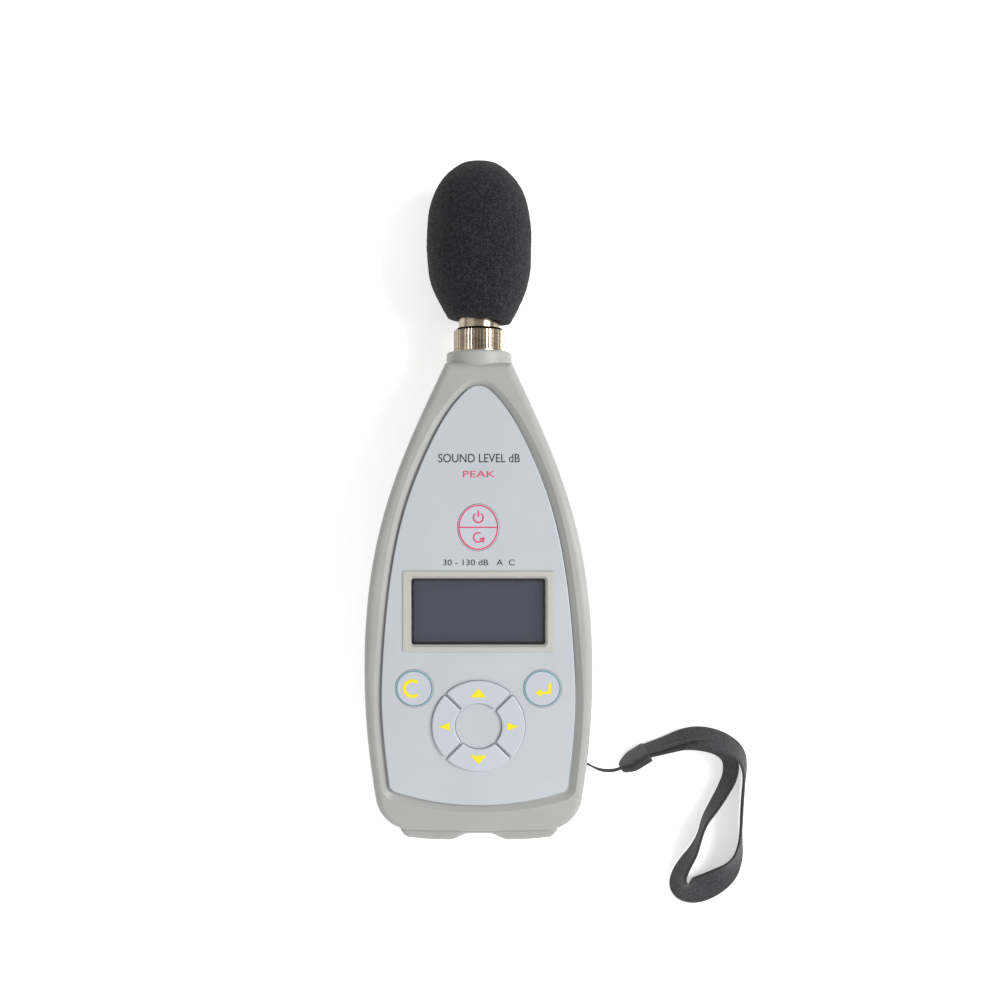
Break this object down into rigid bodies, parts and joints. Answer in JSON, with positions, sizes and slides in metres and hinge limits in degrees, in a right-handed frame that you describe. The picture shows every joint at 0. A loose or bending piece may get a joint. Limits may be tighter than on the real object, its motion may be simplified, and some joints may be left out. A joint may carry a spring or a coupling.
{
  "type": "sound level meter",
  "caption": "Hand-held sound level meter with a tapered casing, arched key panel, small display, foam windscreen on a half-inch microphone, and wrist strap.",
  "frame": {"origin": "on the surface that the meter lies on, under the middle of the meter with its windscreen on", "axes": "+Z out of the face, +Y towards the microphone, +X to the right of the face"},
  "size_m": [0.1219, 0.2385, 0.0339],
  "materials": {
    "casing": "fine satin texture",
    "panel": "smooth satin",
    "keys": "smooth satin",
    "bezel": "satin champagne metal with a bevel",
    "pane": "clear hard pane",
    "mask": "black print",
    "display": "switched-off display",
    "holder": "white light guide",
    "board": "green solder mask",
    "chips": "moulded black",
    "steel": "bright steel",
    "nickel": "nickel plate on brass",
    "brass": "turned brass",
    "insulator": "natural insulator",
    "lamp": "red lamp",
    "light_pipe": "clear rod",
    "cells": "plain cell sleeves",
    "wires": "insulated wire",
    "flat_cable": "flat cable",
    "foam": "open-cell foam",
    "cord": "braided thread",
    "clasp": "moulded dark grey",
    "webbing": "ribbed nylon webbing"
  },
  "bodies": {
    "casing": {"front_shell": "casing", "rear_shell": "casing", "case_screws": "steel", "tripod_insert": "brass", "front_panel": "panel", "lcd_bezel": "bezel", "lcd_window": "pane", "lcd_mask": "mask", "lcd_glass": "display", "lcd_holder": "holder", "main_board": "board", "board_screws": "steel", "dome_switches": "steel", "board_chips": "chips", "analog_shield": "steel", "clock_cell": "steel", "mic_connector": "insulator", "overload_led": "lamp", "overload_light_pipe": "light_pipe", "port_board": "board", "usb_socket": "steel", "port_lead": "flat_cable", "batteries": "cells", "battery_contacts": "nickel", "battery_leads": "wires", "neck_bushing": "nickel", "neck_lock_nut": "brass", "neck_socket": "insulator", "mic_lead": "wires", "strap_thread": "cord", "strap_clasp": "clasp", "strap_webbing": "webbing"},
    "battery_lid": {"battery_cover": "casing"},
    "microphone": {"preamp_barrel": "nickel", "preamp_plug": "insulator", "preamp_board": "board", "preamp_contact": "insulator", "mic_capsule": "nickel", "mic_backplate": "nickel", "mic_insulator": "insulator", "mic_diaphragm": "nickel", "mic_grid": "nickel"},
    "coupling_nut": {"knurled_nut": "nickel"},
    "foam_cover": {"windscreen": "foam"},
    "key_power_cap": {"key_power": "keys"},
    "key_cancel_cap": {"key_cancel": "keys"},
    "key_enter_cap": {"key_enter": "keys"},
    "key_right_cap": {"key_right": "keys"},
    "key_up_cap": {"key_up": "keys"},
    "key_left_cap": {"key_left": "keys"},
    "key_down_cap": {"key_down": "keys"}
  },
  "joints": [
    {"name": "battery_cover_tilt", "type": "hinge", "parent": "casing", "child": "battery_lid", "pos_m": [0, -0.033, 0], "axis": [1, 0, 0], "range_deg": [0, 60]},
    {"name": "coupling_nut_turn", "type": "hinge", "parent": "microphone", "child": "coupling_nut", "pos_m": [0, 0.05, 0.0172], "axis": [0, 1, 0], "range_deg": [0, 1440]},
    {"name": "microphone_withdraw", "type": "slide", "parent": "casing", "child": "microphone", "axis": [0, 1, 0], "range_m": [0, 0.004]},
    {"name": "windscreen_pull", "type": "slide", "parent": "microphone", "child": "foam_cover", "axis": [0, 1, 0], "range_m": [0, 0.035]},
    {"name": "key_power_press", "type": "slide", "parent": "casing", "child": "key_power_cap", "axis": [0, 0, -1], "range_m": [0, 0.0005], "stiffness_N_per_m": 2000},
    {"name": "key_cancel_press", "type": "slide", "parent": "casing", "child": "key_cancel_cap", "axis": [0, 0, -1], "range_m": [0, 0.0005], "stiffness_N_per_m": 2000},
    {"name": "key_enter_press", "type": "slide", "parent": "casing", "child": "key_enter_cap", "axis": [0, 0, -1], "range_m": [0, 0.0005], "stiffness_N_per_m": 2000},
    {"name": "key_right_press", "type": "slide", "parent": "casing", "child": "key_right_cap", "axis": [0, 0, -1], "range_m": [0, 0.0005], "stiffness_N_per_m": 2000},
    {"name": "key_up_press", "type": "slide", "parent": "casing", "child": "key_up_cap", "axis": [0, 0, -1], "range_m": [0, 0.0005], "stiffness_N_per_m": 2000},
    {"name": "key_left_press", "type": "slide", "parent": "casing", "child": "key_left_cap", "axis": [0, 0, -1], "range_m": [0, 0.0005], "stiffness_N_per_m": 2000},
    {"name": "key_down_press", "type": "slide", "parent": "casing", "child": "key_down_cap", "axis": [0, 0, -1], "range_m": [0, 0.0005], "stiffness_N_per_m": 2000}
  ],
  "couplings": [
    {"joint": "microphone_withdraw", "follows": "coupling_nut_turn", "m_per_rad": 0.00015915}
  ]
}
